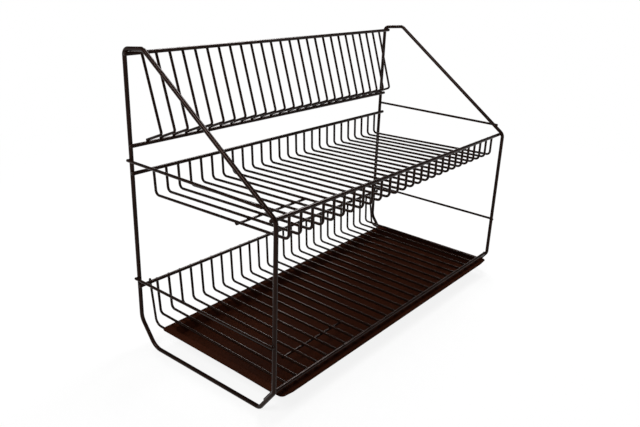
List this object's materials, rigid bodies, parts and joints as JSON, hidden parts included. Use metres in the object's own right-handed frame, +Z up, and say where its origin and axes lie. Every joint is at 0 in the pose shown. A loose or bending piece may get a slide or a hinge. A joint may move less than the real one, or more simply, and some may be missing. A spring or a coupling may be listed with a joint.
{
  "type": "two-tier dish rack",
  "caption": "Freestanding coated wire dish rack with upright plate wires above tiered baskets between bent side frames, and a drip tray that slides out at the front.",
  "frame": {"origin": "on the surface that the rack stands on, under the middle of the rack's whole width and depth", "axes": "+X across the rack to the right as seen from its low front, +Y to the tall rear, +Z up"},
  "size_m": [0.511, 0.2314, 0.3671],
  "materials": {
    "coated_wire": "semi-gloss black-brown coating on steel wire",
    "tray_plastic": "dark chocolate-brown moulded plastic with a slight gloss"
  },
  "bodies": {
    "rack": {"lower_basket_wires": "coated_wire", "lower_front_rail": "coated_wire", "lower_side_rail_left": "coated_wire", "lower_side_rail_right": "coated_wire", "lower_tie_wire": "coated_wire", "plate_lower_rail": "coated_wire", "plate_top_rail": "coated_wire", "plate_wire_01": "coated_wire", "plate_wire_02": "coated_wire", "plate_wire_03": "coated_wire", "plate_wire_04": "coated_wire", "plate_wire_05": "coated_wire", "plate_wire_06": "coated_wire", "plate_wire_07": "coated_wire", "plate_wire_08": "coated_wire", "plate_wire_09": "coated_wire", "plate_wire_10": "coated_wire", "plate_wire_11": "coated_wire", "plate_wire_12": "coated_wire", "plate_wire_13": "coated_wire", "plate_wire_14": "coated_wire", "plate_wire_15": "coated_wire", "plate_wire_16": "coated_wire", "plate_wire_17": "coated_wire", "plate_wire_18": "coated_wire", "plate_wire_19": "coated_wire", "plate_wire_20": "coated_wire", "plate_wire_21": "coated_wire", "plate_wire_22": "coated_wire", "plate_wire_23": "coated_wire", "plate_wire_24": "coated_wire", "plate_wire_25": "coated_wire", "plate_wire_26": "coated_wire", "side_frame_left": "coated_wire", "side_frame_right": "coated_wire", "tray_runner_left": "coated_wire", "tray_runner_right": "coated_wire", "upper_basket_wires": "coated_wire", "upper_front_rail": "coated_wire", "upper_side_rail_left": "coated_wire", "upper_side_rail_right": "coated_wire", "upper_tie_wire": "coated_wire"},
    "tray": {"drip_tray": "tray_plastic"}
  },
  "joints": [
    {"name": "tray_slide", "type": "slide", "parent": "rack", "child": "tray", "axis": [0, -0.9999, -0.0138], "range_m": [0, 0.15]}
  ]
}
